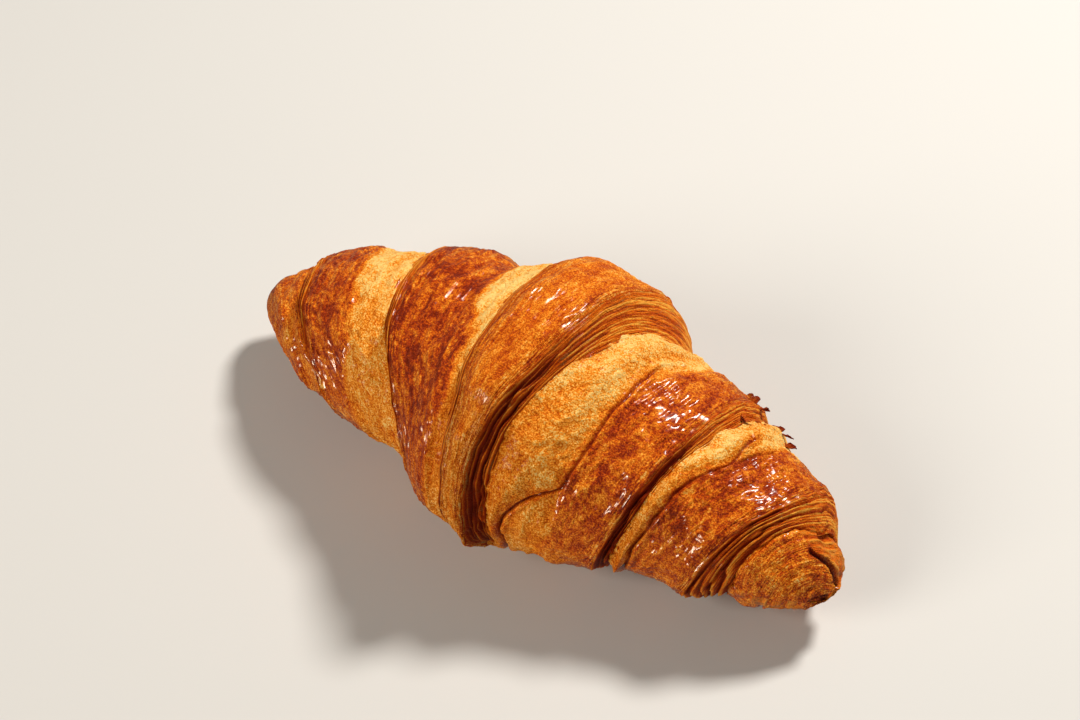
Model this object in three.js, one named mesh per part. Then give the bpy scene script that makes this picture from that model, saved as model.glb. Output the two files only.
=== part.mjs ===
// A croissant: a long triangle of laminated dough rolled up from its wide end and baked. Every turn of the
// roll lies over the next one in, so the surface steps down from the thick middle out to the two tips, and
// the rims of the turns are two long spirals, one towards each tip. The crumb inside is solid here.
//
// Millimetres, +X along the roll, -Y its front, +Z up. A roll angle is measured round the roll in degrees:
// 0 is the front, 90 the top, 180 the back, and each further turn inwards adds 360.
import * as THREE from "three";

// The roll under its bulges: where its ends are and how they close, lift off the table and swing forwards.
const LEFT = { end: -81, bluntness: 5.8, lift: 6, curl: -2.4, swing: -3.7 };
const RIGHT = { end: 82.4, bluntness: 6.8, lift: 6.1, curl: -1.6, swing: -4.3 };
const HALF_WIDTH = [
  [-80, 13.9], [-74, 15.6], [-66, 18.4], [-48, 24.2], [-24, 28.1], [0, 37.6],
  [24, 30], [48, 23.6], [66, 19], [74, 15.8], [80, 12.8],
];
const NOMINAL_END = 80; // the tables place everything between -80 and 80
const ROUNDNESS = 0.9; // height of a section as a share of its width
const UNDERSIDE = 0.8; // reach of the lower half of a section as a share of the upper half
const SQUARENESS = 0.84; // power that fills the lower half of a section out towards its corners
const BOW = 4; // how far the middle lies in front of the ends

// The two spirals: [roll angle, place along the roll]. A wrap's rim is the outer corner of its cut edge, and
// its foot is where that edge meets the wrap below.
const RIGHT_RIM = [
  [-60, 7], [-20, 5.8], [1, 5.1], [30, 4.2], [44, 5], [60, 7], [80, 9.6], [105, 11.4], [131, 14.2], [150, 16],
  [240, 24.5], [340, 31], [388, 35.7], [431, 39.7], [464, 42.3], [510, 44.3],
  [600, 47.5], [703, 51.4], [736, 54.5], [769, 58.5], [806, 64.2], [833, 66.8], [870, 68.5], [1080, 77.5],
];
const RIGHT_FOOT = [
  [-60, 11.5], [-32, 9.6], [-10, 8.4], [35, 8.4], [57, 10.4], [89, 14.4], [115, 17.5], [151, 23.5],
  [240, 30], [335, 34.6], [374, 37.5], [391, 38.9], [422, 40.9], [455, 44.9], [519, 46.8],
  [600, 53], [697, 61.4], [744, 63.1], [780, 66.5], [806, 69.6], [833, 72.2], [882, 73.8], [1080, 79],
];
const LEFT_RIM = [
  [-60, -1.2], [11, -1.9], [40, -3.8], [60, -6.8], [86, -7.3], [150, -7.8], [250, -11],
  [340, -14.5], [371, -18.1], [397, -25.8], [425, -34.3], [457, -38], [520, -41],
  [600, -43.5], [700, -45.5], [725, -48], [736, -51.6], [753, -56.6], [772, -61.6], [792, -64], [835, -67.6],
  [950, -73.5], [1080, -77.5],
];
// How wide the thin cut edge of the left wraps is: [roll angle, distance from the rim to the foot].
const LEFT_EDGE_WIDTH = [
  [0, 2.8], [300, 2.8], [380, 3.4], [460, 3.8], [600, 3.4],
  [736, 5], [780, 5.5], [840, 5], [950, 3], [1080, 1.5],
];
// Where the crease between the pale and the browned part of a right wrap runs: [roll angle, share of the
// way from the foot above it to its own rim].
const RIGHT_CREASE = [
  [340, 0.1], [358, 0.12], [371, 0.22], [383, 0.39], [391, 0.5], [440, 0.42], [470, 0.33],
  [720, 0.12], [782, 0.2], [811, 0.31], [834, 0.4],
];

// How far each feature of a wrap stands out from the roll. One row for each turn, from the outermost in,
// and in a row the values low on the front, half way up the front, and behind the top.
const HEIGHT_ANGLES = [-20, 35, 140];
const FULL_TURN = 360;
const RIGHT_BELLY = [[2.6, 2.4, -0.5], [2, -0.3, 0.5], [-1.3, -0.5, -0.1]];
const RIGHT_RIM_HEIGHT = [[4.5, 2.7, 3.1], [0.3, 0.9, 1.7], [0.7, 1.6, 1.8]];
const RIGHT_FOOT_HEIGHT = [[-1.6, -2, -2.3], [-2.1, -1.8, -0.7], [-2.4, -1.4, -2]];
const RIGHT_FLANK = [[0.1, 1, -0.3], [-0.3, 0, 1.1]];
const RIGHT_CREASE_HEIGHT = [[-0.7, -0.8, -0.7], [-2.2, -1.2, -0.5]];
const LEFT_BELLY = [[1.7, 2, 3.6], [-1, -0.5, 0.4]];
const LEFT_RIM_HEIGHT = [[1.3, 0.9, -0.7], [0.3, 2, 2], [-0.1, 0.4, 1.2]];
const LEFT_FOOT_HEIGHT = [[-0.7, -1, -1.5], [-1.3, -1, -1.1], [-0.6, -0.9, -2.4]];
const LEFT_FLANK = [[1.2, 1.6, 0.1], [-2, -0.4, -1.7]];
const LEFT_FLANK_SHARE = 0.3;
const LEFT_BELLY_SHARE = 0.65;
const RIGHT_TIP_BULGE = 0.4;
const LEFT_TIP_BULGE = 0.1;

// The outermost wrap is the dough's pointed end, which starts under the front.
const POINT_START = -45;
const POINT_FULL = -15;
const LAST_ROLL = 1080;
const LAST_FADE = 120; // the innermost turn flattens into the tip over this much roll
const TURNS = 4;

// Fineness of the surface.
const RINGS = 98;
const AROUND = 50;
const RING_CROWDING = 0.4;

const clamp = THREE.MathUtils.clamp;
const smoothstep = THREE.MathUtils.smoothstep;

// A smooth curve through [x, y] knots that never overshoots between them, flat beyond both ends.
function curve(knots) {
  const slopes = knots.slice(1).map(([x, y], i) => (y - knots[i][1]) / (x - knots[i][0]));
  const tangents = knots.map((_, i) => {
    const before = slopes[i - 1] ?? slopes[0];
    const after = slopes[i] ?? before;
    return before * after > 0 ? (2 * before * after) / (before + after) : 0;
  });
  return (x) => {
    const place = clamp(x, knots[0][0], knots.at(-1)[0]);
    const next = Math.max(1, knots.findIndex(([knot]) => knot >= place));
    const [x0, y0] = knots[next - 1];
    const [x1, y1] = knots[next];
    const step = x1 - x0;
    const t = (place - x0) / step;
    const rise = t * t * (3 - 2 * t);
    const leave = t * (1 - t) * (1 - t) * step * tangents[next - 1];
    const arrive = t * t * (t - 1) * step * tangents[next];
    return y0 + (y1 - y0) * rise + leave + arrive;
  };
}

// A height as a function of the roll angle, from its rows for the turns that start at firstTurn.
function heightCurve(rows, firstTurn) {
  const knots = rows.flatMap((row, turn) =>
    row.map((height, k) => [HEIGHT_ANGLES[k] + FULL_TURN * (turn + firstTurn), height]),
  );
  return curve(knots);
}

const halfWidth = curve(HALF_WIDTH);
const leftRim = curve(LEFT_RIM);
const leftEdgeWidth = curve(LEFT_EDGE_WIDTH);
const crease = curve(RIGHT_CREASE);
const rightBelly = heightCurve(RIGHT_BELLY, 0);
const leftBelly = heightCurve(LEFT_BELLY, 1);

// What one side's section is made of: the rim and the foot of each wrap, and the features between the foot
// of the wrap above and its own rim, each at a share of the way.
const rightSide = {
  tip: NOMINAL_END,
  tipBulge: RIGHT_TIP_BULGE,
  rim: curve(RIGHT_RIM),
  foot: curve(RIGHT_FOOT),
  rimHeight: heightCurve(RIGHT_RIM_HEIGHT, 0),
  footHeight: heightCurve(RIGHT_FOOT_HEIGHT, 0),
  features: [
    { share: (roll) => crease(roll) / 2, height: heightCurve(RIGHT_FLANK, 1) },
    { share: crease, height: heightCurve(RIGHT_CREASE_HEIGHT, 1) },
    { share: (roll) => (1 + crease(roll)) / 2, height: rightBelly },
  ],
};
const leftSide = {
  tip: -NOMINAL_END,
  tipBulge: LEFT_TIP_BULGE,
  rim: leftRim,
  foot: (roll) => leftRim(roll) - leftEdgeWidth(roll),
  rimHeight: heightCurve(LEFT_RIM_HEIGHT, 0),
  footHeight: heightCurve(LEFT_FOOT_HEIGHT, 0),
  features: [
    { share: () => LEFT_FLANK_SHARE, height: heightCurve(LEFT_FLANK, 1) },
    { share: () => LEFT_BELLY_SHARE, height: leftBelly },
  ],
};

// One side of the section at an angle, as [place along, height] from the middle out to the tip.
function sidePoints(side, angle, firstTurn) {
  const points = [];
  let from = null;
  for (let turn = firstTurn; turn < TURNS; turn += 1) {
    const roll = angle + FULL_TURN * turn;
    if (roll > LAST_ROLL) break;
    const strength = clamp((LAST_ROLL - roll) / LAST_FADE, 0, 1);
    const rim = side.rim(roll);
    if (from !== null) {
      for (const { share, height } of side.features) {
        points.push([THREE.MathUtils.lerp(from, rim, share(roll)), height(roll) * strength]);
      }
    }
    const foot = side.foot(roll);
    from = Math.abs(foot) < Math.abs(side.tip) ? foot : side.tip;
    points.push([rim, side.rimHeight(roll) * strength]);
    points.push([from, side.footHeight(roll) * strength]);
  }
  points.push([(from + side.tip) / 2, side.tipBulge]);
  points.push([side.tip, side.tipBulge / 3]);
  return points;
}

// The whole section at an angle, from the left tip to the right tip.
function section(angle, firstTurn) {
  const left = sidePoints(leftSide, angle, firstTurn);
  const right = sidePoints(rightSide, angle, firstTurn);
  const roll = angle + FULL_TURN * firstTurn;
  const outermost = firstTurn === 0;
  const height = outermost ? rightBelly(roll) : (rightBelly(roll) + leftBelly(roll)) / 2;
  return [...left.reverse(), [(left.at(-1)[0] + right[0][0]) / 2, height], ...right];
}

// Height over the roll at a place along, easing from each point of a section to the next.
function heightAt(points, along) {
  const next = clamp(points.findIndex(([x]) => x > along), 1, points.length - 1);
  const [x0, h0] = points[next - 1];
  const [x1, h1] = points[next];
  return THREE.MathUtils.lerp(h0, h1, smoothstep(along, x0, Math.max(x1, x0 + 1e-3)));
}

// Every wrap at an angle: under the front the pointed end's own wrap runs out over the one below it.
function bulgeAt(angle) {
  const shown = smoothstep(angle, POINT_START, POINT_FULL);
  const withPoint = section(angle, 0);
  const withoutPoint = section(angle, 1);
  return (along) => {
    const over = shown > 0 ? heightAt(withPoint, along) : 0;
    const under = shown < 1 ? heightAt(withoutPoint, along) : 0;
    return THREE.MathUtils.lerp(under, over, shown);
  };
}

// A point of the surface at a share of the length (-1 to 1) and an angle, on top of the given bulge.
function surfacePoint(share, angle, bulge) {
  const side = share < 0 ? LEFT : RIGHT;
  const along = share * NOMINAL_END;
  const cap = Math.sqrt(Math.max(0, 1 - Math.abs(share) ** side.bluntness));
  const width = halfWidth(along);
  const radius = (width + bulge(along)) * cap;
  const turned = THREE.MathUtils.degToRad(angle);
  const up = Math.sin(turned);
  const forward = Math.cos(turned);
  const lift = side.lift * share ** 2 + side.curl * share ** 6;
  const axisHeight = width * ROUNDNESS * UNDERSIDE + lift;
  const reach = up > 0 ? up : up * UNDERSIDE;
  const spread = up > 0 ? forward : Math.sign(forward) * Math.abs(forward) ** SQUARENESS;
  return new THREE.Vector3(
    Math.abs(share * side.end) * Math.sign(share),
    -BOW * (1 - share ** 2) + side.swing * share ** 4 - radius * spread,
    Math.max(0, axisHeight + ROUNDNESS * radius * reach),
  );
}

// The share of the length where a ring lies: the rings close up towards both ends.
function ringShare(i) {
  const t = i / RINGS;
  return THREE.MathUtils.lerp(2 * t - 1, -Math.cos(Math.PI * t), RING_CROWDING);
}

// The closed surface: rings of points between two pole points, each ring joined to the next.
function croissantGeometry() {
  const angles = Array.from({ length: AROUND }, (_, j) => -180 + (j * FULL_TURN) / AROUND);
  const bulges = angles.map(bulgeAt);
  const points = [];
  for (let i = 1; i < RINGS; i += 1) {
    angles.forEach((angle, j) => points.push(surfacePoint(ringShare(i), angle, bulges[j])));
  }
  const leftPole = points.push(surfacePoint(-1, 0, bulges[0])) - 1;
  const rightPole = points.push(surfacePoint(1, 0, bulges[0])) - 1;
  const index = [];
  for (let j = 0; j < AROUND; j += 1) {
    const k = (j + 1) % AROUND;
    for (let i = 0; i < RINGS - 2; i += 1) {
      const here = i * AROUND;
      const next = here + AROUND;
      index.push(here + j, next + j, next + k, here + j, next + k, here + k);
    }
    const last = (RINGS - 2) * AROUND;
    index.push(leftPole, j, k, rightPole, last + k, last + j);
  }
  const geometry = new THREE.BufferGeometry().setFromPoints(points);
  geometry.setIndex(index);
  // The origin is the middle of the footprint, at the height that it rests on.
  geometry.computeBoundingBox();
  const middle = geometry.boundingBox.getCenter(new THREE.Vector3());
  geometry.translate(-middle.x, -middle.y, -geometry.boundingBox.min.z);
  geometry.computeVertexNormals();
  return geometry;
}

const crust = new THREE.MeshStandardMaterial({ color: 0xb9641f, roughness: 0.45, metalness: 0 });
const croissant = new THREE.Mesh(croissantGeometry(), crust);
croissant.name = "croissant";

const group = new THREE.Group();
group.add(croissant);

export default group;
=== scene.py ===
# %% [markdown]
# # A croissant
#
# A croissant is one long triangle of dough, folded with butter into many thin layers, rolled up from its wide
# end and baked. This lesson rebuilds that roll. Each turn of the triangle becomes a closed piece of its own,
# so the rim of one turn really lies over the next, and the cut layers can follow the rim all the way round.
#
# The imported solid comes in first. It fixes the size and the place of everything that follows.

from itertools import product

import bpy
import numpy as np
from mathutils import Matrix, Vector


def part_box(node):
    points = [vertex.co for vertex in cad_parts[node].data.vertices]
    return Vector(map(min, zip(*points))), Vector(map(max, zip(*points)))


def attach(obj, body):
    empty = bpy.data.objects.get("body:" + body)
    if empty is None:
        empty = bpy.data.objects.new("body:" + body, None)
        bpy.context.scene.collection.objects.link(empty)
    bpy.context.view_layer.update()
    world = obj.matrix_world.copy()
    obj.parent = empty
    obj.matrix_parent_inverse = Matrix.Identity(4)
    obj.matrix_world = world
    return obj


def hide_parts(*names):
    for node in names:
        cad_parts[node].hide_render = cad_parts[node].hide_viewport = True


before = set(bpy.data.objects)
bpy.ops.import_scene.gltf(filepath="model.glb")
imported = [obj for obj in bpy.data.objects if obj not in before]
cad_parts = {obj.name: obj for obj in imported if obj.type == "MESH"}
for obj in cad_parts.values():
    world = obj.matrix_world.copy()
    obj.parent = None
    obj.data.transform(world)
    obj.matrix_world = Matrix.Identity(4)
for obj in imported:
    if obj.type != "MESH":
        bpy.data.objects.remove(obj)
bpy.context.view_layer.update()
box_low, box_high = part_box("croissant")
print("solid, mm:", [round(1000 * side, 1) for side in box_high - box_low])

# %% [markdown]
# ## How the roll is measured
#
# Along the roll everything is in millimetres, from the left end to the right one. Round the roll there is an
# angle: 0 is the front, 90 the top, 180 the back, and every further turn inwards adds 360. So the two rims of
# the triangle are two long spirals, and each is a short table of angle and place. A curve that never
# overshoots its knots joins them, so a rim doesn't wobble between two of them.

# %% Smooth curves through a few knots
MM = 0.001
TURN = 360
TIP_ROLL = 1080


def smooth_curve(knots):
    """The curve through (x, y) knots that never overshoots between them, flat past both ends."""
    x, y = np.array(knots, float).T
    slope = np.diff(y) / np.diff(x)
    before = np.concatenate([slope[:1], slope])
    after = np.concatenate([slope, slope[-1:]])
    rising = before * after > 0
    total = np.where(rising, before + after, 1)
    tangent = np.where(rising, 2 * before * after / total, 0)

    def at(place):
        place = np.clip(place, x[0], x[-1])
        i = np.clip(np.searchsorted(x, place) - 1, 0, len(x) - 2)
        step = x[i + 1] - x[i]
        t = (place - x[i]) / step
        middle = y[i] + (y[i + 1] - y[i]) * t * t * (3 - 2 * t)
        return middle + t * (1 - t) ** 2 * step * tangent[i] + t * t * (t - 1) * step * tangent[i + 1]

    return at


def ease(value, start, end):
    """0 before start, 1 past end, and a soft S between them."""
    t = np.clip((value - start) / (end - start), 0, 1)
    return t * t * (3 - 2 * t)


def mix(a, b, share):
    return a + (b - a) * share


# %% [markdown]
# ## The roll under the wraps
#
# Without its wraps a croissant is a bent spindle: widest in the middle, a little flat underneath, with both
# tips lifted off the table. A point of the surface needs only its place along, its angle and how far it
# stands out from this spindle, so every piece below is made with the same function.

# %% The spindle
END = 80
LEFT = {"end": 81.0, "bluntness": 5.8, "lift": 6.0, "curl": -2.4, "swing": -3.7}
RIGHT = {"end": 82.4, "bluntness": 6.8, "lift": 6.1, "curl": -1.6, "swing": -4.3}
half_width = smooth_curve([
    (-80, 13.9), (-74, 15.6), (-66, 18.4), (-48, 24.2), (-24, 28.1), (0, 37.6),
    (24, 30), (48, 23.6), (66, 19), (74, 15.8), (80, 12.8),
])
ROUNDNESS = 0.9
UNDERSIDE = 0.8
SQUARENESS = 0.84
BOW = 4
THINNEST = 0.5


def end_cap(along):
    """The share of its width that the roll still has, 1 in the middle and 0 at both ends."""
    bluntness = np.where(along < 0, LEFT["bluntness"], RIGHT["bluntness"])
    return np.sqrt(np.clip(1 - np.abs(along / END) ** bluntness, 0, 1))


def on_the_roll(along, angle, height):
    """The point at a place along and an angle, standing out by height, in millimetres."""
    share = along / END
    side = {name: np.where(share < 0, LEFT[name], RIGHT[name]) for name in LEFT}
    cap = end_cap(along)
    radius = np.maximum(half_width(along) + height, THINNEST) * cap
    turned = np.radians(angle)
    up, forward = np.sin(turned), np.cos(turned)
    reach = np.where(up > 0, up, up * UNDERSIDE)
    spread = np.where(up > 0, forward, np.sign(forward) * np.abs(forward) ** SQUARENESS)
    lift = side["lift"] * share**2 + side["curl"] * share**6
    axis_height = half_width(along) * ROUNDNESS * UNDERSIDE + lift
    x = share * side["end"]
    y = -BOW * (1 - share**2) + side["swing"] * share**4 - radius * spread
    z = axis_height + ROUNDNESS * radius * reach
    return np.stack(np.broadcast_arrays(x, y, z), -1)


half_widths = [round(float(half_width(place)), 1) for place in (-END, 0, END)]
print("half width at the left end, in the middle and at the right end, mm:", half_widths)

# %% [markdown]
# ## The two spirals
#
# The rim is the outer corner of the cut dough, and the foot is where the cut edge meets the wrap below it. On
# the right the edge opened in the oven into a broad fan of layers. On the left it stayed thin.
#
# Between two rims the pale dough, which the next wrap covered until it rose, gives way to the browned part.
# On the right a crease runs along that line.

# %% Rims, feet and the pale strips
right_rim = smooth_curve([
    (-60, 7), (-20, 5.8), (1, 5.1), (30, 4.2), (44, 5), (60, 7), (80, 9.6), (105, 11.4), (131, 14.2),
    (150, 16), (240, 24.5), (340, 31), (388, 35.7), (431, 39.7), (464, 42.3), (510, 44.3),
    (600, 47.5), (703, 51.4), (736, 54.5), (769, 58.5), (806, 64.2), (833, 66.8), (870, 68.5), (1080, 77.5),
])
right_foot = smooth_curve([
    (-60, 11.5), (-32, 9.6), (-10, 8.4), (35, 8.4), (57, 10.4), (89, 14.4), (115, 17.5), (151, 23.5),
    (240, 30), (335, 34.6), (374, 37.5), (391, 38.9), (422, 40.9), (455, 44.9), (519, 46.8),
    (600, 53), (697, 61.4), (744, 63.1), (780, 66.5), (806, 69.6), (833, 72.2), (882, 73.8), (1080, 79),
])
left_rim = smooth_curve([
    (-60, -1.2), (11, -1.9), (40, -3.8), (60, -6.8), (86, -7.3), (150, -7.8), (250, -11),
    (340, -14.5), (371, -18.1), (397, -25.8), (425, -34.3), (457, -38), (520, -41),
    (600, -43.5), (700, -45.5), (725, -48), (736, -51.6), (753, -56.6), (772, -61.6), (792, -64),
    (835, -67.6), (950, -73.5), (1080, -77.5),
])
left_edge = smooth_curve([
    (0, 2.8), (300, 2.8), (380, 3.4), (460, 3.8), (600, 3.4), (736, 5),
    (780, 5.5), (840, 5), (950, 3), (1080, 1.5),
])
crease_share = smooth_curve([
    (340, 0.1), (358, 0.12), (371, 0.22), (383, 0.39), (391, 0.5), (440, 0.42), (470, 0.33),
    (720, 0.12), (782, 0.2), (811, 0.31), (834, 0.4),
])
right_pale = smooth_curve([
    (340, 0.5), (371, 0.52), (391, 0.5), (440, 0.42), (460, 0.42), (490, 0.48), (540, 0.5),
    (690, 0.08), (720, 0.08), (782, 0.16), (811, 0.27), (834, 0.38), (870, 0.5),
])
left_pale = smooth_curve([
    (340, 0.3), (366, 0.25), (377, 0.2), (394, 0.1), (415, 0.03), (432, 0.07), (447, 0.22), (480, 0.29),
    (520, 0.3), (700, 0.6), (728, 0.62), (750, 0.48), (764, 0.41), (780, 0.375), (803, 0.41), (833, 0.47),
    (900, 0.45),
])
top_of_turns = [90 + TURN * turn for turn in range(3)]
for name, rim in {"left": left_rim, "right": right_rim}.items():
    print(name, "rim on top, turn by turn, mm:", [round(float(rim(roll)), 1) for roll in top_of_turns])

# %% [markdown]
# The heights say how far each feature stands out: one row for each turn, from the outermost in, and in a row
# the values low on the front, half way up the front, and behind the top.

# %% Heights
HEIGHT_ANGLES = (-20, 35, 140)


def height_curve(rows, first_turn=0):
    """A height by roll angle, from its three values in each turn."""
    knots = []
    for turn, row in enumerate(rows, first_turn):
        knots += [(angle + TURN * turn, value) for angle, value in zip(HEIGHT_ANGLES, row)]
    return smooth_curve(knots)


right_belly = height_curve([(2.6, 2.4, -0.5), (2, -0.3, 0.5), (-1.3, -0.5, -0.1)])
left_belly = height_curve([(1.7, 2, 3.6), (-1, -0.5, 0.4)], 1)
right = {
    "out": 1,
    "rim": right_rim,
    "foot": right_foot,
    "pale": right_pale,
    "rim_height": height_curve([(4.5, 2.7, 3.1), (0.3, 0.9, 1.7), (0.7, 1.6, 1.8)]),
    "foot_height": height_curve([(-1.6, -2, -2.3), (-2.1, -1.8, -0.7), (-2.4, -1.4, -2)]),
    "features": [
        (lambda roll: crease_share(roll) / 2, height_curve([(0.1, 1, -0.3), (-0.3, 0, 1.1)], 1)),
        (crease_share, height_curve([(-0.7, -0.8, -0.7), (-2.2, -1.2, -0.5)], 1)),
        (lambda roll: (1 + crease_share(roll)) / 2, right_belly),
    ],
}
left = {
    "out": -1,
    "rim": left_rim,
    "foot": lambda roll: left_rim(roll) - left_edge(roll),
    "pale": left_pale,
    "rim_height": height_curve([(1.3, 0.9, -0.7), (0.3, 2, 2), (-0.1, 0.4, 1.2)]),
    "foot_height": height_curve([(-0.7, -1, -1.5), (-1.3, -1, -1.1), (-0.6, -0.9, -2.4)]),
    "features": [
        (lambda roll: 0.3, height_curve([(1.2, 1.6, 0.1), (-2, -0.4, -1.7)], 1)),
        (lambda roll: 0.65, left_belly),
    ],
}

# %% [markdown]
# ## Unevenness
#
# Nothing on baked dough repeats, so the surface is broken up by seeded noise: lumps of one chosen width in
# millimetres, the same every time. It is worked out at each vertex, because folds and blisters of a
# millimetre and more have to change the outline and cast shadows.

# %% Seeded lumps
MEAN_RADIUS = 24
TIP_RADIUS = 15
KEEP_POSITIVE = 500.0


def scatter(cells, seed):
    """A steady random value from 0 to 1 for each whole-numbered cell."""
    x, y, z = (cells[..., axis].astype(np.uint64) for axis in range(3))
    code = (x * 73856093) ^ (y * 19349663) ^ (z * 83492791) ^ np.uint64(seed * 2654435761 % 2**32)
    code = (code & np.uint64(0xFFFFFFFF)) * np.uint64(1274126177)
    code = (code ^ (code >> np.uint64(15))) & np.uint64(0xFFFFFFFF)
    code = (code * np.uint64(2246822519)) & np.uint64(0xFFFFFFFF)
    return ((code >> np.uint64(8)) & np.uint64(0xFFFF)) / 65535.0


def lumps(points, width, seed):
    """Smooth noise from -1 to 1 whose lumps are about width across."""
    place = points / width + KEEP_POSITIVE
    cell = np.floor(place).astype(np.int64)
    t = place - cell
    t = t * t * (3 - 2 * t)
    total = np.zeros(points.shape[:-1])
    for corner in product((0, 1), repeat=3):
        weight = np.prod(np.where(corner, t, 1 - t), axis=-1)
        total += weight * scatter(cell + np.array(corner), seed)
    return 2 * total - 1


def sheet_noise(along, roll, width, length, seed):
    """Noise drawn out round the roll, the way the dough was stretched: width along it, length round it."""
    arc = np.radians(roll) * MEAN_RADIUS + 0 * along
    return lumps(np.stack([along / width, arc / length, 0 * arc + seed], -1), 1, seed)


# %% [markdown]
# ## One wrap
#
# A wrap is a strip that runs round the roll, with a closed outline in every cross-section: up from under the
# wrap above it, over its own pale strip and browned belly to the rim, down the cut edge to the foot, and back
# through the inside. A UV sphere already is such a thing, rings of points between two poles, so each wrap
# starts as one. Its rings are then laid out along the spiral and its segments round the outline, which no
# set of edit operators does for a spiral that changes its width all the way.

# %% From a sphere to a strip


def note(piece, label, values):
    """Keeps one number for each vertex, for the finish to read."""
    kept = piece.data.attributes.new(label, "FLOAT", "POINT")
    kept.data.foreach_set("value", values.astype(np.float32))


def sphere_to_strip(name, points, attributes):
    """A closed mesh from rows of outline points in metres, one row for each ring of a UV sphere."""
    rings, segments = points.shape[:2]
    bpy.ops.object.select_all(action="DESELECT")
    bpy.ops.mesh.primitive_uv_sphere_add(segments=segments, ring_count=rings + 1, radius=1)
    piece = bpy.context.object
    piece.name = piece.data.name = name
    place = np.empty(len(piece.data.vertices) * 3)
    piece.data.vertices.foreach_get("co", place)
    x, y, z = place.reshape(-1, 3).T
    ring = np.rint(np.arccos(np.clip(z, -1, 1)) / np.pi * (rings + 1)).astype(int)
    segment = np.rint(np.arctan2(y, x) / (2 * np.pi) * segments).astype(int) % segments
    poles = [np.broadcast_to(row.mean(0), row.shape) for row in (points[0], points[-1])]
    laid = np.stack([poles[0], *points, poles[1]])[ring, segment]
    piece.data.vertices.foreach_set("co", laid.ravel())
    for label, values in attributes.items():
        note(piece, label, np.concatenate([values[:1], values, values[-1:]])[ring, segment])
    piece.data.uv_layers[0].name = "OFBake"
    bpy.ops.object.mode_set(mode="EDIT")
    bpy.ops.mesh.select_all(action="SELECT")
    bpy.ops.mesh.normals_make_consistent(inside=False)
    bpy.ops.object.mode_set(mode="OBJECT")
    bpy.ops.object.shade_smooth()
    return piece


# %% [markdown]
# Between two stations of an outline the height eases from one to the next. The inside of the strip is never
# seen, so it gets few points and cuts straight through the crumb.

# %% An outline through its stations
CORE = 0.45
SINK = 0.5


def station(along, height, cells, skin=1):
    return {"along": along, "height": height, "cells": cells, "skin": skin}


def inner_station(along, cells):
    return station(along, -(1 - CORE) * half_width(along), cells, 0)


def outline(stations, rows):
    """Place along, height and share of skin for every point of the closed outlines of a strip."""
    columns = {"along": [], "height": [], "skin": []}
    for here, there in zip(stations, stations[1:] + stations[:1]):
        t = np.arange(here["cells"])[None, :] / here["cells"]
        for key, values in columns.items():
            ends = [np.broadcast_to(end[key], rows)[:, None] for end in (here, there)]
            values.append(mix(*ends, t if key == "along" else t * t * (3 - 2 * t)))
    return [np.concatenate(values, 1).astype(float) for values in columns.values()]


# %% [markdown]
# ## The stations of a wrap
#
# The first wrap on each side starts at the middle of the underside, until the dough's point lies over it.
# From there on each wrap starts under the cut edge of the one above.

# %% Stations
POINT_START, POINT_FULL = -45, -15
LAST_FADE = 120
LAST_SINK = 1.4
UNDER_ABOVE = 1.5


def side_stations(side, roll, cells):
    """A wrap on one side: its start, its features, its rim, its cut edge and the way back inside."""
    out = side["out"]
    rim, foot = side["rim"](roll), side["foot"](roll)
    covered = ease(roll, POINT_START + TURN, POINT_FULL + TURN)
    middle_height = (left_belly(roll) + right_belly(roll)) / 2
    start = side_start(side, roll)
    start_height = mix(middle_height, side["foot_height"](roll - TURN), covered)
    fade = np.clip((TIP_ROLL - roll) / LAST_FADE, 0, 1)
    sunk = LAST_SINK * ease(roll, 1000, 1065)
    rim_height = side["rim_height"](roll) * fade - sunk
    foot_height = side["foot_height"](roll) * fade - sunk
    stations = [
        station(start - out * 3, start_height - UNDER_ABOVE, 3, 0),
        station(start - out * 0.8, start_height, cells[0]),
    ]
    for (share, height), count in zip(side["features"], cells[1:]):
        plain = (middle_height + rim_height) / 2
        level = mix(plain, height(roll) * fade - sunk, covered)
        stations.append(station(mix(start, rim, share(roll)), level, count))
    return stations + [
        station(rim, rim_height, cells[-1]),
        station(foot, foot_height - SINK, 3),
        station(foot - out * 1.5, foot_height - 3, 2, 0),
        inner_station(rim - out * 3, 3),
        inner_station(start, 2),
    ]


def side_start(side, roll):
    """Where a wrap comes out from under the one above it."""
    covered = ease(roll, POINT_START + TURN, POINT_FULL + TURN)
    middle = (left_rim(roll) + right_rim(roll)) / 2
    return mix(middle, side["foot"](roll - TURN), covered)


def centre_stations(roll, cells):
    """The outermost wrap, with a cut edge on both sides and the dough's point at its start."""
    shown = ease(roll, POINT_START - 2, POINT_FULL)

    def level(height):
        return mix(1.0, height(roll), shown)

    rims = [side["rim"](roll) for side in (left, right)]
    feet = [side["foot"](roll) for side in (left, right)]
    return [
        station(feet[0] + 1.5, level(left["foot_height"]) - 3, 2, 0),
        station(feet[0], level(left["foot_height"]) - SINK, cells[0]),
        station(rims[0], level(left["rim_height"]), cells[1]),
        station((rims[0] + rims[1]) / 2, level(right_belly), cells[2]),
        station(rims[1], level(right["rim_height"]), cells[3]),
        station(feet[1], level(right["foot_height"]) - SINK, 3),
        station(feet[1] - 1.5, level(right["foot_height"]) - 3, 2, 0),
        inner_station(rims[1] - 1, 3),
        inner_station(rims[0] + 1, 2),
    ]


# %% [markdown]
# ## Cut layers
#
# Where the knife cut the dough, its layers lift apart like the pages of a book. Each layer runs round the
# roll, wanders a little, stands out more in some places than in others, and sticks to its neighbour here
# while a gap opens there. Counting layers across the edge gives every point the layer that it lies on.

# %% Layers and gaps
LIP = 0.3


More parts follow.
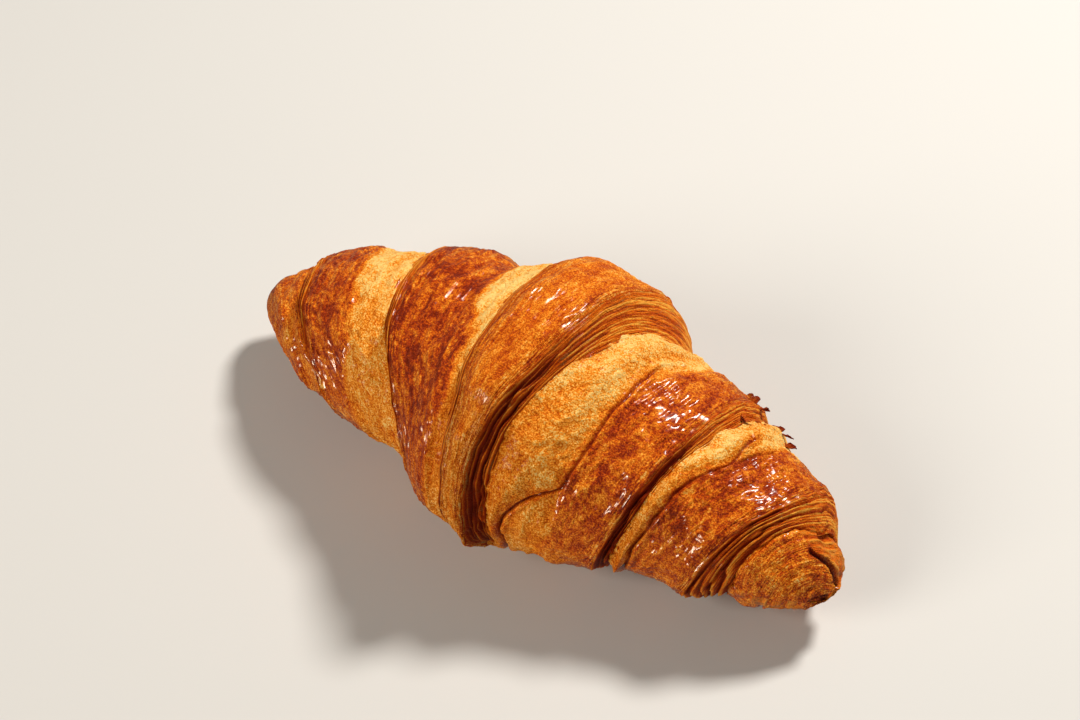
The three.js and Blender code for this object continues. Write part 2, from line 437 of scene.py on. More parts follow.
def cut_layers(roll, past, width, count, seed):
    """For each point its height in its layer (0 in a gap, 1 on the lip), how proud the layer is, and how open
    the gap is."""
    flat = 0 * past
    drift = lumps(np.stack([roll / 22 + flat, past * 0.3, flat], -1), 1, seed) * 0.75
    drift += lumps(np.stack([roll / 6 + flat, past * 0.6, flat], -1), 1, seed + 3) * 0.14
    place = past / width * count + drift
    layer = np.floor(place)
    t = place - layer
    falling = np.maximum(t - LIP, 0) / (1 - LIP)
    crest = np.where(t < LIP, ease(t, 0, LIP), 1 - falling**1.6)
    proud = lumps(np.stack([roll / 28 + flat, layer * 9.7, flat], -1), 1, seed + 1)
    opened = lumps(np.stack([roll / 18 + flat, np.rint(place) * 7.3, flat + 5], -1), 1, seed + 2)
    return crest, proud, ease(opened, -0.5, 0.7)


def groove(distance, half_width):
    """1 at the bottom of a groove, 0 outside it."""
    return np.clip(1 - np.abs(distance) / half_width, 0, 1) ** 0.75


# %% [markdown]
# ## The crust of a wrap
#
# Everything that stands out from the smooth wrap is added to its points, first the cut edge. Its layers are
# coarse and open in front, and finer and flatter behind the top, where the edge lies down on the wrap below.
# A few crevices run deep between the layers low on the front. They could be cut out with a boolean, but then
# the layers wouldn't bend into them.

# %% The cut edge


def around(roll):
    """The angle on the section, from -90 underneath over 0 at the front to 270."""
    return (roll + 90) % TURN - 90


def along_the_roll(roll, past, step, seed):
    """Noise that only changes round the roll, once in every step of degrees."""
    flat = 0 * past
    return lumps(np.stack([roll / step + flat, flat, flat], -1), 1, seed)


def edge_relief(roll, past, width, edge):
    """The height of a cut edge, its layer lines with crests painted lighter as highlights, its gaps painted
    dark as shade, and the shares of cut and of torn crust.
    """
    slow = roll / edge["calm"]
    crest, proud, opened = cut_layers(slow, past, width, edge["count"], edge["seed"])
    fine, fine_proud, _ = cut_layers(slow, past, width, edge["count"] * 2.2, edge["seed"] + 7)
    far = ease(around(roll), 50, 105) + 0 * past
    width = width * (1 + 0.1 * along_the_roll(roll, past, 8, edge["seed"] + 10))
    under_rim = 1 - ease(past, width - mix(0.2, 0.9, far), width + 0.5)
    on_edge = ease(past, mix(-0.5, -2.2, far), mix(0.3, 1, far)) * under_rim
    torn = ease(past, -4.5, -0.2) * under_rim
    gap = (1 - crest) ** 2 * opened
    coarse = edge["size"] * mix(1, 0.5, far) * (crest * (0.8 + 0.7 * proud) - 0.6)
    coarse -= edge["gap"] * gap * (1 - 0.6 * far)
    height = coarse * np.maximum(on_edge, 0.5 * torn**2)
    height += mix(0.25, 0.5, far) * edge["size"] * (fine * (1 + 0.6 * fine_proud) - 0.5) * on_edge
    height += 0.45 * along_the_roll(roll, past, 6, edge["seed"] + 9) * np.exp(-((past / 1.4) ** 2))
    # The gaps between the layers are painted dark as shade, more in front than behind the top.
    dark = gap * on_edge * mix(0.7, 0.3, far)
    for share, half_width, depth, first, last, seed in edge["crevices"]:
        wander = along_the_roll(slow, past, 11, seed)
        here = ease(roll, first - 8, first + 8) * (1 - ease(roll, last - 12, last + 12))
        wide = half_width * (1 + 0.4 * wander) * mix(1.35, 0.9, ease(around(roll), 10, 60))
        ragged = 0.32 * wander + 0.12 * along_the_roll(slow, past, 4, seed + 5)
        cut = groove(past - share * width - ragged, wide) * here
        height = height * (1 - 0.8 * cut) - depth * cut + 0.5 * (crest - 0.5) * cut
        # The crevices are painted dark as shade, a little less on the layers' crests.
        dark = np.maximum(dark, np.minimum(1, edge["burn"] * cut) * (1 - 0.4 * crest**3))
    # The lines are the layers' own edges, with their crests painted lighter as highlights.
    coarse_line = crest**2 * (0.8 + 0.4 * proud)
    fine_line = fine * (0.75 + 0.6 * fine_proud)
    line = mix(0.65, 0.35, far) * coarse_line + mix(0.35, 0.65, far) * fine_line
    line = ((line - 0.5) * 1.5 + mix(0.36, 0.6, far) + edge["tint"]) * on_edge
    return height, line, dark, on_edge, torn


# %% [markdown]
# The rest of the crust has the blisters of the glazed part, the soft dents of the pale strip, and the
# wrinkles that run round the roll. The same step notes how brown each point is, where the layers are, and
# where gaps, crevices and creases are painted dark as shade, because the finish has to follow exactly the
# same lines.

# %% The crust


def crust_relief(points, roll, along, parts):
    """Height to add, and the values that the finish reads, for each point."""
    psi = around(roll) + 0 * along
    brown = parts["brown"]
    lane = parts["lane"]
    bubbles = 1 - 2.4 * np.abs(sheet_noise(lane, roll, 1.3, 2.8, 11))
    small = sheet_noise(lane, roll, 0.8, 1.4, 12)
    stretched = 1 - 2.4 * np.abs(sheet_noise(lane, roll, 1.0, 9, 13))
    behind = ease(psi, 60, 110)
    blister = 0.2 * bubbles + 0.16 * small + mix(0.1, 0.26, behind) * stretched
    warped = points + 1.6 * lumps(points, 5, 25)[..., None]
    wrinkles = 1 - 2.6 * np.abs(lumps(warped, 2.8, 14))
    dents = 1 - 2.4 * np.abs(sheet_noise(lane, roll, 2.6, 10, 19))
    matt = 0.24 * wrinkles + 0.22 * lumps(points, 0.9, 15) + 0.36 * dents
    fine = mix(matt, blister, brown)
    swollen = 0.5 * (brown - 0.5)
    height = 0.6 * lumps(points, 9, 16) + 0.35 * lumps(points, 4.5, 17) + fine + swollen
    layer, dark, edge, torn = (0 * psi for _ in range(4))
    for past, width, cut in parts["edges"]:
        # burnt here is the edge's painted shade: its gaps and crevices painted dark.
        high, line, burnt, on_edge, tearing = edge_relief(roll, past, width, cut)
        height = height * (1 - 0.8 * on_edge) + high
        layer, dark = np.maximum(layer, line), np.maximum(dark, burnt)
        edge, torn = np.maximum(edge, on_edge), np.maximum(torn, tearing)
    crease_shade = 0 * psi
    # Each crease is painted dark in its fold and browner around it: painted shade.
    for distance, half_width, depth, first, last in parts["creases"]:
        distance = distance + 0.3 * along_the_roll(roll, distance, 9, 18)
        seen = ease(psi, first - 4, first + 4) * (1 - ease(psi, last - 12, last + 4))
        fold = groove(distance, half_width) * seen
        lip = groove(distance - 2.2 * half_width, 1.6 * half_width) * seen
        height += depth * (0.5 * lip - fold)
        dark = np.maximum(dark, 0.65 * fold)
        crease_shade = np.maximum(crease_shade, groove(distance, 4.5 * half_width) * seen)
    # Browner beside a crease is painted shade; browner beside torn crust is the crust's own colour.
    beside = np.maximum(crease_shade, torn * (1 - edge))
    # The pale dough is painted paler towards the top and more orange low on the front: painted light on top,
    # painted shade below.
    paler = (1 - brown) * mix(-0.13, 0.4, ease(psi, 40, 95))
    tone = mix(brown - paler, np.maximum(brown, 0.65), beside)
    # browning also carries painted light and shade, and dark is painted shade in gaps, crevices and creases.
    values = {
        "browning": tone * parts["bake"], "layer": layer, "edge": edge, "dark": dark, "torn": torn,
        "relief": fine, "lane": lane, "round": np.radians(psi) * MEAN_RADIUS,
    }
    return height, values


# %% [markdown]
# ## The five wraps
#
# One wrap has both cut edges, and two more on each side have one. The right edge of the outermost wrap is the
# widest, with two deep crevices low on the front. Further in the edges are thinner, and the last one on the
# right opens again into thick layers with gaps painted dark as shade.

# %% The cut edges
# count: layers across the edge; calm: how much longer than usual its waves are; size and gap: how far layers
# stand out and gaps cut in, mm; tint: paler above 0; then how dark its crevices are painted as shade;
# crevices: (share of the edge's width, half width, depth, first and last roll angle, seed).
CENTRE_EDGE = {
    "count": 8, "seed": 31, "calm": 1, "size": 0.5, "gap": 0.5, "tint": 0.04, "burn": 1.0,
    "crevices": [(0.2, 0.8, 2.8, -60, 74, 41), (0.5, 0.45, 2.0, -60, 60, 42), (0.85, 0.3, 0.8, -60, 50, 48)],
}
RIGHT_EDGE_1 = {
    "count": 5, "seed": 32, "calm": 1.2, "size": 0.45, "gap": 0.5, "tint": 0, "burn": 1.3,
    "crevices": [(0.25, 0.6, 2.2, 320, 440, 43), (0.6, 0.4, 1.5, 320, 415, 47), (0.9, 0.35, 1, 320, 400, 49)],
}
RIGHT_EDGE_2 = {
    "count": 7, "seed": 33, "calm": 2.4, "size": 0.6, "gap": 0.7, "tint": 0.08, "burn": 0.55,
    "crevices": [
        (0.1, 0.4, 1.2, 700, 870, 44), (0.45, 0.5, 1.3, 690, 880, 45), (0.85, 0.6, 1.6, 690, 900, 46),
    ],
}
LEFT_EDGE_THIN = {"count": 3, "seed": 34, "calm": 1, "size": 0.35, "gap": 0.5, "tint": 0, "crevices": []}
LEFT_EDGE_MIDDLE = {"count": 5, "seed": 36, "calm": 1.5, "size": 0.6, "gap": 0.4, "tint": 0, "crevices": []}
LEFT_EDGE_WIDE = {"count": 7, "seed": 35, "calm": 2, "size": 0.7, "gap": 0.35, "tint": 0.04, "crevices": []}

# %% The browning of a wrap


def glaze_reach(roll, along):
    """How far the egg wash reaches round the wrap: full on top, little low on the front and behind."""
    psi = around(roll) + 0 * along
    return mix(0.5, 1, ease(psi, -15, 45)) * mix(1, 0.6, ease(psi, 85, 180))


def side_parts(side, cut, creases, bake):
    """What the crust of a wrap on one side is made of, as a function of roll angle and place."""

    def parts(roll, along):
        rim, foot = side["rim"](roll), side["foot"](roll)
        start = side_start(side, roll)
        share = (along - start) / (rim - start)
        wobble = 0.05 * sheet_noise(along, roll, 2.2, 7, 21)
        pale = side["pale"](roll)
        brown = ease(share + wobble, pale - 0.05, pale + 0.08) * glaze_reach(roll, along)
        brown = mix(brown, 0.5, ease(roll, 920, 980))
        past = side["out"] * (along - rim)
        past_fold = side["out"] * (along - mix(start, rim, crease_share(roll)))
        folds = [
            (past_fold + spread * ease(around(roll), first, last), half_width, depth, first, last)
            for spread, half_width, depth, first, last in creases
        ]
        lane = mix(along - start, along - rim + 20 * side["out"], np.clip(share, 0, 1))
        edges = [(past, np.abs(foot - rim), cut)]
        return {"brown": brown, "lane": lane, "edges": edges, "creases": folds, "bake": bake}

    return parts


def centre_parts(roll, along):
    wobble = 0.25 * sheet_noise(along, roll, 5, 12, 22)
    low = mix(0.35, 1, ease(around(roll) + 25 * wobble, 15, 70))
    brown = np.clip(glaze_reach(roll, along) * low - np.maximum(0, wobble), 0, 1)
    edges = [
        (left_rim(roll) - along, left_edge(roll), LEFT_EDGE_THIN),
        (along - right_rim(roll), right_foot(roll) - right_rim(roll), CENTRE_EDGE),
    ]
    share = np.clip((along - left_rim(roll)) / (right_rim(roll) - left_rim(roll)), 0, 1)
    lane = mix(along - left_rim(roll), along - right_rim(roll) + 20, share)
    return {"brown": brown, "lane": lane, "edges": edges, "creases": [], "bake": 0.7}


# %% [markdown]
# Each wrap is given its first and last roll angle, its rows, its stations with the number of points between
# them, and the parts of its crust. A crease is (spread, half width, depth, first and last angle). The last
# number says how dark the wrap baked, where the middle one has 0.7.

# %% The wraps' places
WRAPS = {
    "wrap_centre": (-45, 272, 520, lambda roll: centre_stations(roll, (20, 50, 50, 48)), centre_parts),
    "right_wrap_1": (
        265, 632, 600, lambda roll: side_stations(right, roll, (18, 26, 34, 28, 36)),
        side_parts(right, RIGHT_EDGE_1, [(0, 0.5, 1.0, -90, 112)], 1.05),
    ),
    "right_wrap_2": (
        627, 1075, 600, lambda roll: side_stations(right, roll, (14, 20, 32, 28, 50)),
        side_parts(right, RIGHT_EDGE_2, [(0, 0.45, 0.9, -90, 125), (4, 0.35, 0.6, 78, 122)], 1.08),
    ),
    "left_wrap_1": (
        265, 632, 600, lambda roll: side_stations(left, roll, (36, 40, 38, 26)),
        side_parts(left, LEFT_EDGE_MIDDLE, [], 1.27),
    ),
    "left_wrap_2": (
        627, 1075, 600, lambda roll: side_stations(left, roll, (34, 40, 36, 26)),
        side_parts(left, LEFT_EDGE_WIDE, [], 1.13),
    ),
}

# %% Placing the wraps in the solid's box
smooth = {}
for name, (first, last, rows, stations, _) in WRAPS.items():
    roll = np.linspace(first, last, rows)
    smooth[name] = (roll[:, None], *outline(stations(roll), rows))
nominal = np.concatenate([on_the_roll(along, roll, height).reshape(-1, 3)
                          for roll, along, height, _ in smooth.values()])
nominal[:, 2] = np.maximum(nominal[:, 2], 0)
nominal_low, nominal_high = nominal.min(0), nominal.max(0)
offset = (np.array(box_low) + np.array(box_high)) / 2 - (nominal_low + nominal_high) / 2 * MM
offset[2] = box_low[2]
print("box of the wraps, mm:", (nominal_high - nominal_low).round(1), "moved by", (offset / MM).round(2))

# %% Building the wraps
LOWEST = -5.0
pieces = []
laid = []
for name, (roll, along, height, skin) in smooth.items():
    base = on_the_roll(along, roll, height)
    *_, parts = WRAPS[name]
    relief, values = crust_relief(base, roll, along, parts(roll, along))
    crusty = height + relief * skin
    laid.append([along, around(roll) + 0 * along, np.where(skin > 0.9, crusty, LOWEST)])
    points = on_the_roll(along, roll, crusty)
    points[..., 2] = np.maximum(points[..., 2], 0)
    piece = sphere_to_strip(name, points * MM + offset, values)
    pieces.append(piece)
    print(name, len(piece.data.polygons), "faces")

# %% [markdown]
# ## The two tips
#
# At each end the rolled-up middle of the dough shows as a small knob inside the last wrap. It could be the
# end of the last wrap, but its crust is wound the other way round. As it is a blunt round form, its sphere is
# stretched along the roll and keeps its poles at the two ends. The right knob is cracked open beside the last
# turn of dough, its crack painted dark as shade, and the left one is a little burnt on top.

# %% A knob
PIT_DEPTH = 2.8
OUTER_STEP = 0.9


def knob(name, side, start, bulge, flare, seed, hole):
    """The end of the rolled-up middle; hole gives its pits, by place along and angle in degrees."""
    rows, around_it = 220, 260
    t = np.linspace(0, 1, rows + 2)[1:-1, None]
    share = mix(t, np.sin(t * np.pi / 2), 0.8)
    tip = side["out"] * END
    along = mix(start, tip, share) + np.zeros((1, around_it))
    psi = np.linspace(-180, 180, around_it, endpoint=False)[None, :] + 0 * along
    front = ease(psi, -90, -20)
    last_roll = np.where(psi > 0, psi + 2 * TURN, psi + 3 * TURN)
    foot = mix(side["foot"](psi + 3 * TURN), side["foot"](psi + 2 * TURN), front)
    fade = np.clip((TIP_ROLL - last_roll) / LAST_FADE, 0, 1)
    foot_height = mix(side["foot_height"](psi + 3 * TURN) * fade, side["foot_height"](psi + 2 * TURN), front)
    past = side["out"] * (along - foot)
    half_length = np.maximum(side["out"] * (tip - foot) / 2, 0.5)
    height = mix(foot_height, bulge, ease(past, 0, half_length)) - 1.5 * ease(-past, 0.3, 2)
    base = on_the_roll(along, psi, height)
    swirl = lumps(np.stack([psi / 60 + past * 0.05, past / 0.9, 0 * past], -1), 1, seed + 4)
    fine = 0.34 * lumps(base, 2.4, seed + 1) + 0.3 * lumps(base, 1.1, seed + 2) + 0.2 * swirl
    pits, outer = hole(side["out"] * along, psi, base)
    lined = outer * swirl
    out = 0.8 * lumps(base, 6, seed) + fine - PIT_DEPTH * pits
    out = out + flare * ease(past, 2, 8) + 0.4 * lined - OUTER_STEP * outer
    cap = end_cap(along)
    points = on_the_roll(along, psi, height + out)
    points[..., 0] += side["out"] * (1 - cap) * np.minimum(out, 0.6)
    points[..., 2] = np.maximum(points[..., 2], 0)
    brown = 0.62 + 0.3 * lumps(base, 5, seed + 3) + 0.4 * outer
    # The pits are painted dark: the right knob's crack as painted shade, the left knob's burnt top as its
    # colour.
    values = {
        "browning": brown, "layer": 0.5 + 0.5 * lined, "edge": 0.7 * outer, "dark": np.clip(pits, 0, 1),
        "torn": 0.5 + 0 * along, "relief": fine, "lane": past, "round": np.radians(psi) * TIP_RADIUS,
    }
    return sphere_to_strip(name, points * MM + offset, values)


# %% The two knobs


def right_hole(along, psi, points):
    """The open crack round the core's corner, painted dark as shade, and the last turn of dough past it."""
    reach = END - along + half_width(along) * end_cap(along)
    forward, up = reach * np.cos(np.radians(psi)), reach * np.sin(np.radians(psi))
    wander = 0.5 * lumps(points, 2.6, 57)
    inside = np.minimum(forward - mix(0, 4.4, ease(up, 10, 18)), up - 1.2) + wander
    seen = ease(along, 71.5, 73) * (1 - 0.5 * ease(forward, 3, 7)) * (1 - ease(forward, 9, 14))
    hollow = groove(inside, 1.4 + 0.7 * lumps(points, 4, 58)) * seen
    return hollow, ease(-inside, 0.5, 2) * ease(along, 60, 70)


def left_burn(along, psi, points):
    """The tip's burnt upper corner."""
    wander = 8 * lumps(points, 2, 67)
    return 0.5 * ease(along, 77, 78.8) * groove(psi + wander - 85, 28), 0 * psi


pieces.append(knob("right_tip", right, 50, bulge=0.4, flare=-0.3, seed=51, hole=right_hole))
pieces.append(knob("left_tip", left, -50, bulge=-2, flare=2.6, seed=61, hole=left_burn))
print("points of each knob:", [len(piece.data.vertices) for piece in pieces[-2:]])

# %% [markdown]
# ## Loose flakes
#
# A few leaves of crust came loose behind the top and stand up along the outline. They could be pulled out of
# the wraps, but thin leaves need points of their own. So each is a small grid, laid in the surface at its
# root and lifted at its free end, with a ragged outline, and a modifier gives it its thickness.

# %% A flake
LEAF_THICKNESS = 0.2
ROOT_DEPTH = 0.5


def crust_height(along, angle):
    """How far the crust of the wraps stands out at a place along and an angle."""
    highest = LOWEST
    for place, psi, height in laid:
        near = (np.abs(place - along) < 0.5) & (np.abs(psi - angle) < 1.5)
        highest = max(highest, height[near].max(initial=highest))
    return highest


def flake(name, along, angle, heading, length, width, lift, burnt, seed):
    """A thin leaf rooted in the crust, lifted at its free end; heading 0 points along the roll."""
    bpy.ops.object.select_all(action="DESELECT")
    bpy.ops.mesh.primitive_grid_add(x_subdivisions=30, y_subdivisions=26, size=1)
    leaf = bpy.context.object
    leaf.name = leaf.data.name = name
    place = np.empty(len(leaf.data.vertices) * 3)
    leaf.data.vertices.foreach_get("co", place)
    x, y, _ = place.reshape(-1, 3).T
    out = x + 0.5
    flat = 0 * x
    side_ragged = lumps(np.stack([out * 4, np.sign(y), flat], -1), 1, seed)
    end_ragged = lumps(np.stack([flat, y * 5, flat], -1), 1, seed + 1)
    reach = out * length * (1 + 0.45 * end_ragged * out)
    spread = y * width * (1 - 0.4 * out**2) * (1 + 0.4 * side_ragged)
    turned = np.radians(heading)
    here = along + reach * np.cos(turned) - spread * np.sin(turned)
    arc = reach * np.sin(turned) + spread * np.cos(turned)
    base = crust_height(along, angle)
    radius = half_width(np.array(along)) + base
    up = base - ROOT_DEPTH + (lift + ROOT_DEPTH) * out**1.4 - 1.5 * lift * y**2
    up = up + 0.2 * lift * lumps(np.stack([reach / 0.9, spread / 0.9, flat], -1), 1, seed + 2)
    points = on_the_roll(here, angle + np.degrees(arc / radius), up)
    leaf.data.vertices.foreach_set("co", (points * MM + offset).ravel())
    values = {
        "browning": 0.5, "layer": 0.3, "edge": 0.6, "torn": 1.0, "relief": 0.1, "lane": spread + seed,
        "round": reach, "dark": burnt * (0.3 + 0.5 * out),
    }
    for label, value in values.items():
        note(leaf, label, value + flat)
    leaf.data.uv_layers[0].name = "OFBake"
    solidify = leaf.modifiers.new("thickness", "SOLIDIFY")
    solidify.thickness = LEAF_THICKNESS * MM
    solidify.offset = 0
    bpy.ops.object.modifier_apply(modifier=solidify.name)
    bpy.ops.object.shade_smooth()
    return leaf


# %% The flakes
# Place along, angle, heading, length, width, lift, how burnt, seed.
FLAKES = {
    "flake_centre": (12, 150, 60, 3.2, 3.4, 0.9, 0.1, 71),
    "flake_right_1": (43, 140, 80, 2.6, 2.2, 1.5, 0.8, 72),
    "flake_right_2": (44, 147, 20, 2.4, 2, 1.3, 1, 73),
    "flake_right_3": (42, 145, 110, 2, 1.8, 1.1, 0.8, 74),
    "flake_right_4": (47.5, 145, 30, 2.8, 2, 1, 0.9, 75),
    "flake_right_5": (49.5, 147, 60, 2.4, 2.4, 1.1, 0.8, 76),
    "flake_right_6": (51, 149, 0, 2.6, 2, 0.9, 0.9, 77),
    "flake_right_7": (53.5, 146, 40, 2.2, 1.8, 1, 0.9, 78),
    "flake_right_8": (44.5, 121, 35, 2.6, 1.8, 0.4, 0.2, 79),
    "flake_left_1": (-70.8, 100, 80, 1.6, 1.8, 1, 0.1, 80),
    "flake_left_2": (-70, 118, 100, 1.6, 1.8, 1, 0.1, 81),
    "flake_left_3": (-44, 130, 90, 1.8, 2.4, 0.7, 0, 82),
}
for name, values in FLAKES.items():
    pieces.append(flake(name, *values))
print("pieces:", len(pieces), "points:", sum(len(piece.data.vertices) for piece in pieces))

# %% [markdown]
# ## The finish
#
# One finish covers the whole crust, because it is one dough. It could be one material for each kind of crust,
# but then hard lines would show between them. So a single one reads how brown each point is, and mixes a pale
# floury surface with a glossy egg-washed one. The cut layers are dry and redder, with crests painted lighter
# as highlights, and their gaps painted dark as shade.
#
# A finish is mostly sums, and they are easier to follow as sums than as nodes. A small class makes the nodes.

# %% Sums written as sums


def paint(red, green, blue):
    """A colour as seen on screen, 0 to 255, in the linear numbers that a shader wants."""
    shares = np.array([red, green, blue]) / 255
    linear = np.where(shares > 0.04045, ((shares + 0.055) / 1.055) ** 2.4, shares / 12.92)
    return (*linear, 1.0)


class Wire:
    """An output of a node that sums and products can be written with."""

    tree = None

    def __init__(self, socket):
        self.socket = socket

    @classmethod
    def node(cls, kind, settings, inputs, output=0):
        made = cls.tree.nodes.new("ShaderNode" + kind)
        for name, value in settings.items():
            if name == "stops":
                set_stops(made.color_ramp, value)
            else:
                setattr(made, name, value)
        for name, value in inputs.items():
            if isinstance(value, Wire):
                cls.tree.links.new(value.socket, made.inputs[name])
            else:
                made.inputs[name].default_value = value
        return cls(made.outputs[output]) if made.outputs else made

    def math(self, operation, *others):
        values = dict(enumerate([self, *others]))
        return Wire.node("Math", {"operation": operation}, values)

    def __add__(self, other):
        return self.math("ADD", other)

    def __mul__(self, other):
        return self.math("MULTIPLY", other)

    def __sub__(self, other):
        return self.math("SUBTRACT", other)

    def __rsub__(self, other):
        return (self * -1) + other

    def clamped(self):
        return Wire.node("Clamp", {}, {0: self})

    def step(self, start, end):
        """0 before start, 1 past end, soft between."""
        settings = {"interpolation_type": "SMOOTHSTEP"}
        return Wire.node("MapRange", settings, {"Value": self, "From Min": start, "From Max": end})


def set_stops(ramp, stops):
    while len(ramp.elements) < len(stops):
        ramp.elements.new(0.5)
    for element, (place, colour) in zip(ramp.elements, stops):
        element.position = place
        element.color = colour


def blend(share, a, b):
    return Wire.node("Mix", {"data_type": "RGBA"}, {0: share, 6: a, 7: b}, 2)


def attribute(name):
    return Wire.node("Attribute", {"attribute_name": name}, {}, "Fac")


def grain(vector, size, detail=2.0, roughness=0.5, distortion=0.0):
    """Noise from 0 to 1 with features of the given size in the vector's own unit."""
    inputs = {"Vector": vector, "Scale": 1 / size, "Detail": detail, "Roughness": roughness}
    inputs["Distortion"] = distortion
    return Wire.node("TexNoise", {}, inputs)


def along_the_sheet(stretch):
    """A place on the dough in millimetres, drawn out round the roll where stretch is small."""
    return Wire.node("CombineXYZ", {}, {0: attribute("lane"), 1: attribute("round") * stretch, 2: 0.0})


# %% [markdown]
# The patches and threads are drawn out the way the dough was rolled, and the finest spots are the same all
# ways. The browner a point, the more the patches count. A pale strip has fine cracks instead.

# %% Noise and wear of the crust
crust = bpy.data.materials.new("crust")
crust.use_nodes = True
Wire.tree = crust.node_tree
Wire.tree.nodes.clear()

browning = attribute("browning")
layer = attribute("layer")
edge = attribute("edge")
# dark holds painted shade in gaps, crevices, creases and the right knob's crack, and the real burn of the
# flakes and of the left knob's top.
dark = attribute("dark")
place = Wire.node("TexCoord", {}, {}, "Object")
sheet = along_the_sheet(0.45)
lines = along_the_sheet(0.08)
patches = grain(sheet, 3.0, 3, 0.65, 0.8).step(0.32, 0.68)
broad = grain(place, 5 * MM, 2, 0.5).step(0.35, 0.65)
spots = grain(place, 1.3 * MM, 3, 0.7).step(0.32, 0.68)
fine = grain(place, 0.38 * MM, 2, 0.6).step(0.35, 0.65)
threads = grain(lines, 0.35, 2, 0.6).step(0.3, 0.7)
raised = attribute("relief").step(-0.5, 0.5)
pale = (1 - browning).clamped()
cracks = (1 - (grain(along_the_sheet(0.6), 1.5, 3, 0.6) - 0.5).math("ABSOLUTE") * 14).clamped()
mottle = (patches - 0.5) * 0.4 * browning + (spots - 0.5) * (browning * 0.24 + 0.07) + (fine - 0.5) * 0.37
mottle = mottle + (threads - 0.5) * 0.6 * attribute("torn") + (broad - 0.5) * 0.06 + cracks * pale * 0.18

# %% Colour of the crust
# The relief's crests are painted paler and its hollows browner, as painted highlights and shade; dark adds
# painted shade.
depth = (browning * 0.4 + 0.24 + mottle + dark * 0.3 - (raised - 0.5) * (pale * 0.05 + 0.14)).clamped()
skin = Wire.node("ValToRGB", {"stops": [
    (0.0, paint(255, 213, 126)), (0.2, paint(255, 168, 52)), (0.42, paint(229, 119, 13)),
    (0.7, paint(184, 65, 2)), (1.0, paint(122, 30, 1)),
]}, {0: depth})
# The layer lines carry painted highlights on their crests; dark paints gaps and crevices as shade.
leaf = (layer * (1 - dark * 0.85) + (threads - 0.5) * 0.4 + (broad - 0.5) * 0.12 + 0.1).clamped()
leaves = Wire.node("ValToRGB", {"stops": [
    (0.0, paint(104, 20, 1)), (0.3, paint(188, 62, 2)),
    (0.6, paint(240, 118, 10)), (1.0, paint(254, 178, 64)),
]}, {0: leaf})
colour = blend(edge * 0.85, skin, leaves)
# Blends in the painted shade of gaps, crevices, creases and the crack, and the real burn of the flakes.
colour = blend((dark * 1.1).clamped(), colour, paint(112, 25, 7))

# %% [markdown]
# Where the crust browned under its egg wash it has a thin clear coat. The blisters under it wrinkle the coat,
# and that breaks a highlight into glints. The pale strips and the cut layers stay nearly matt.

# %% Gloss and bumps of the crust
gloss = (browning * (1 - edge * 0.7)).step(0.3, 0.75)
rough = 0.62 - gloss * 0.22 + (fine - 0.5) * 0.15
bumps = (
    (grain(place, 0.8 * MM, 3, 0.7) - 0.5) * 0.65 * gloss
    + (grain(along_the_sheet(0.22), 0.6, 3, 0.65) - 0.5) * 0.7 * gloss
    + (grain(place, 0.32 * MM, 1, 0.5) - 0.5) * 0.3
    + (grain(place, 0.6 * MM, 3, 0.75) - 0.5) * 0.7 * (1 - gloss)
    - cracks * 0.12 * (1 - gloss)
    + (threads - 0.5) * 0.3 * attribute("torn")
)
normal = Wire.node("Bump", {}, {"Strength": 1.0, "Distance": MM, "Height": bumps})
shader = Wire.node("BsdfPrincipled", {}, {
    "Base Color": colour, "Roughness": rough, "Normal": normal,
    "Coat Weight": gloss * 0.9 + 0.1, "Coat Roughness": 0.16, "Coat IOR": 1.28, "Specular IOR Level": 0.06,
})
Wire.node("OutputMaterial", {}, {"Surface": shader})
print("nodes in the crust's finish:", len(Wire.tree.nodes))

# %% Finish, body and slot of every piece
for piece in pieces:
    piece.data.materials.clear()
    piece.data.materials.append(crust)
    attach(piece, "root")
    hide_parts("croissant")

# %% [markdown]
# ## The floor, the lights and the camera
#
# The floor is a plain pale sheet. The key light comes from behind, small enough to show the blisters by their
# shadows, and a broad soft fill lights the front. A third lamp is only seen reflected in the coat: it gives
# the low front its glints, which the fill is too broad for. The floor and the fill aren't reflected, or the
# coat would turn milky.

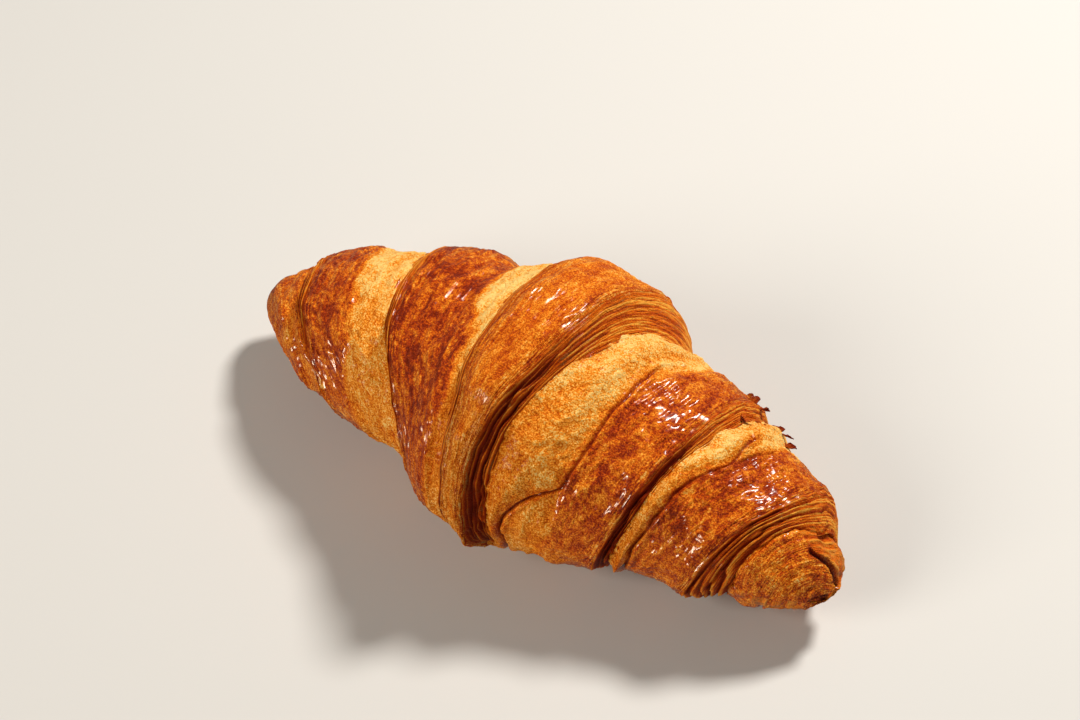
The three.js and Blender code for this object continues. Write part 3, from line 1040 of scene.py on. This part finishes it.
# %% Floor
bpy.ops.object.select_all(action="DESELECT")
bpy.ops.mesh.primitive_plane_add(size=6, location=(0, 0, box_low[2]))
floor = bpy.context.object
floor.name = "floor"
paper = bpy.data.materials.new("floor_paper")
paper.use_nodes = True
paper.node_tree.nodes["Principled BSDF"].inputs["Base Color"].default_value = (0.6, 0.59, 0.57, 1)
paper.node_tree.nodes["Principled BSDF"].inputs["Roughness"].default_value = 0.8
floor.data.materials.append(paper)
floor.visible_glossy = False

# %% Lights


def direction(azimuth, elevation):
    """The unit direction towards a bearing measured from +X, and a height, in degrees."""
    turned, raised = np.radians([azimuth, elevation])
    return Vector((np.cos(turned) * np.cos(raised), np.sin(turned) * np.cos(raised), np.sin(raised)))


def lamp(name, towards, distance, size, power, colour):
    light = bpy.data.lights.new(name, "AREA")
    light.shape = "DISK"
    light.size = size
    light.energy = power
    light.color = colour
    made = bpy.data.objects.new(name, light)
    bpy.context.collection.objects.link(made)
    made.location = target + towards * distance
    made.rotation_euler = towards.to_track_quat("Z", "Y").to_euler()
    return made


target = Vector(offset) + Vector((0, 0, 20 * MM))
lamp("key", direction(76.1, 53.2), distance=1.0, size=0.2, power=12.5, colour=(1, 0.96, 0.9))
fill = lamp("fill", direction(-115, 32), distance=1.2, size=0.6, power=9.0, colour=(1, 0.94, 0.85))
fill.visible_glossy = False
glints = lamp("glints", direction(-120, 14), distance=1.2, size=0.3, power=16.0, colour=(1, 0.86, 0.66))
glints.visible_diffuse = False
world = bpy.data.worlds.new("studio")
world.use_nodes = True
world.node_tree.nodes["Background"].inputs["Color"].default_value = (1, 0.93, 0.84, 1)
world.node_tree.nodes["Background"].inputs["Strength"].default_value = 0.12
bpy.context.scene.world = world
bpy.context.scene.view_settings.view_transform = "Standard"

# %% Camera
CAMERA_DISTANCE = 607.229
view = bpy.data.cameras.new("camera")
view.lens = 85
view.sensor_width = 36
view.shift_x = -0.0106
view.shift_y = 0.0429
camera = bpy.data.objects.new("camera", view)
bpy.context.collection.objects.link(camera)
back = direction(34.142 - 90, 49.986)
camera.location = target + back * CAMERA_DISTANCE * MM
camera.rotation_euler = back.to_track_quat("Z", "Y").to_euler()
bpy.context.scene.camera = camera
